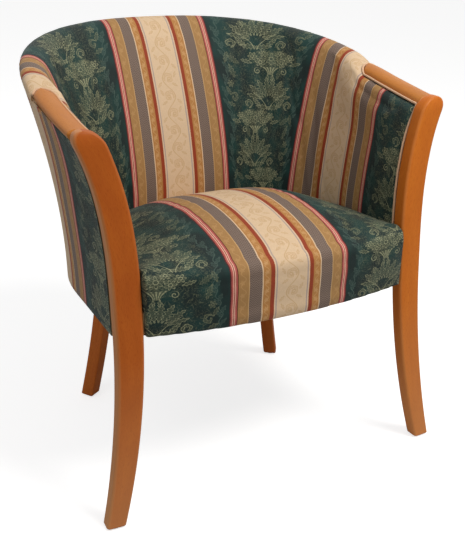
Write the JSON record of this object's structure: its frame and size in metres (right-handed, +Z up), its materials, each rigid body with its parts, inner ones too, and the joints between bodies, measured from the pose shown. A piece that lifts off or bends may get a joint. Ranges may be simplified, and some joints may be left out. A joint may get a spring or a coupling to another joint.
{
  "type": "tub chair",
  "caption": "Upholstered tub chair with a curved wrap-round back, striped fabric, a crowned sprung seat and show-wood arms running down into splayed legs.",
  "frame": {"origin": "on the floor, at the centre of the chair's bounding box", "axes": "+X to the sitter's left, seen from the front to the right; +Y to the back of the chair; +Z up"},
  "size_m": [0.7122, 0.6434, 0.76],
  "materials": {
    "show_wood": "satin lacquered beech, honey to cherry stain",
    "frame_wood": "raw beech",
    "cover_fabric": "woven damask with stripe groups on dark green",
    "foam": "upholstery foam and wadding",
    "board": "bent fibreboard",
    "welt_cord": "fabric-covered piping",
    "steel": "spring steel",
    "lining_cloth": "black non-woven lining",
    "glide_plastic": "moulded nylon"
  },
  "bodies": {
    "root": {"arm_cap_left": "show_wood", "arm_cap_right": "show_wood", "arm_rail_left": "frame_wood", "arm_rail_right": "frame_wood", "back_pad": "foam", "cap_dowel_left": "frame_wood", "cap_dowel_right": "frame_wood", "centre_post": "frame_wood", "dust_cover": "lining_cloth", "front_block_left": "frame_wood", "front_block_right": "frame_wood", "front_glide_left": "glide_plastic", "front_glide_right": "glide_plastic", "front_leg_left": "show_wood", "front_leg_right": "show_wood", "front_rail": "frame_wood", "front_rail_dowel_left_high": "frame_wood", "front_rail_dowel_left_low": "frame_wood", "front_rail_dowel_right_high": "frame_wood", "front_rail_dowel_right_low": "frame_wood", "inner_liner": "board", "inside_cover": "cover_fabric", "outer_card": "board", "outside_cover": "cover_fabric", "rear_block_left": "frame_wood", "rear_block_right": "frame_wood", "rear_glide_left": "glide_plastic", "rear_glide_right": "glide_plastic", "rear_leg_bolt_left": "steel", "rear_leg_bolt_right": "steel", "rear_leg_left": "show_wood", "rear_leg_right": "show_wood", "rear_post_left": "frame_wood", "rear_post_right": "frame_wood", "rear_rail": "frame_wood", "seat_cover": "cover_fabric", "seat_pad": "foam", "seat_spring_1": "steel", "seat_spring_2": "steel", "seat_spring_3": "steel", "seat_spring_4": "steel", "side_rail_dowel_left_high": "frame_wood", "side_rail_dowel_left_low": "frame_wood", "side_rail_dowel_right_high": "frame_wood", "side_rail_dowel_right_low": "frame_wood", "side_rail_left": "frame_wood", "side_rail_right": "frame_wood", "spring_clip_front_1": "steel", "spring_clip_front_2": "steel", "spring_clip_front_3": "steel", "spring_clip_front_4": "steel", "spring_clip_rear_1": "steel", "spring_clip_rear_2": "steel", "spring_clip_rear_3": "steel", "spring_clip_rear_4": "steel", "top_rail": "frame_wood", "welt_left": "welt_cord", "welt_right": "welt_cord"}
  },
  "joints": []
}
